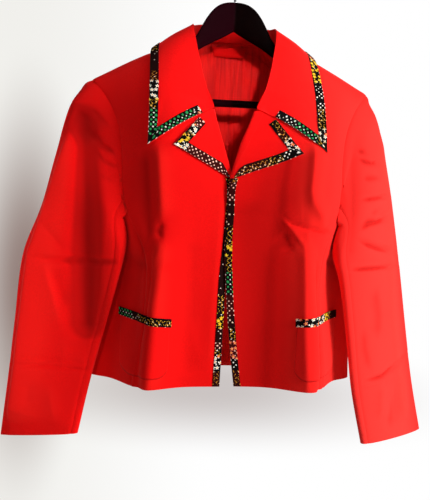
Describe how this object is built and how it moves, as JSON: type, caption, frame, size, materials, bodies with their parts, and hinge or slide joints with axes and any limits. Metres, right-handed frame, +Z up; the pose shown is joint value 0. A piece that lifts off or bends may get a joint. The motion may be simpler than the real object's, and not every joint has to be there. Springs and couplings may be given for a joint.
{
  "type": "trachten jacket on a hanger",
  "caption": "Short red wool jacket with a notched collar, printed cotton trim and patch pockets, hanging open at the front on a plain plastic hanger.",
  "frame": {"origin": "the inside top of the hanger's hook, where the rail bears", "axes": "+Z up, the front of the jacket faces -Y, +X to the right as one looks at the front"},
  "size_m": [0.661, 0.2015, 0.7259],
  "materials": {
    "red_wool": "fulled wool cloth with a short soft nap",
    "satin_lining": "smooth satin with a soft sheen",
    "printed_cotton": "plain-weave cotton with a small traditional print",
    "dark_plastic": "moulded plastic, satin",
    "steel_wire": "bright drawn wire"
  },
  "bodies": {
    "root": {"back": "red_wool", "back_lining": "satin_lining", "collar": "red_wool", "collar_trim": "printed_cotton", "front_left": "red_wool", "front_right": "red_wool", "front_trim_left": "printed_cotton", "front_trim_right": "printed_cotton", "hanger_bar": "dark_plastic", "hanger_body": "dark_plastic", "hanger_hook": "steel_wire", "hanging_loop": "red_wool", "lapel_left": "red_wool", "lapel_right": "red_wool", "lapel_trim_left": "printed_cotton", "lapel_trim_right": "printed_cotton", "pocket_left": "red_wool", "pocket_right": "red_wool", "pocket_trim_left": "printed_cotton", "pocket_trim_right": "printed_cotton", "side_panel_left": "red_wool", "side_panel_right": "red_wool", "under_sleeve_left": "red_wool", "under_sleeve_right": "red_wool", "upper_sleeve_left": "red_wool", "upper_sleeve_right": "red_wool"}
  },
  "joints": []
}
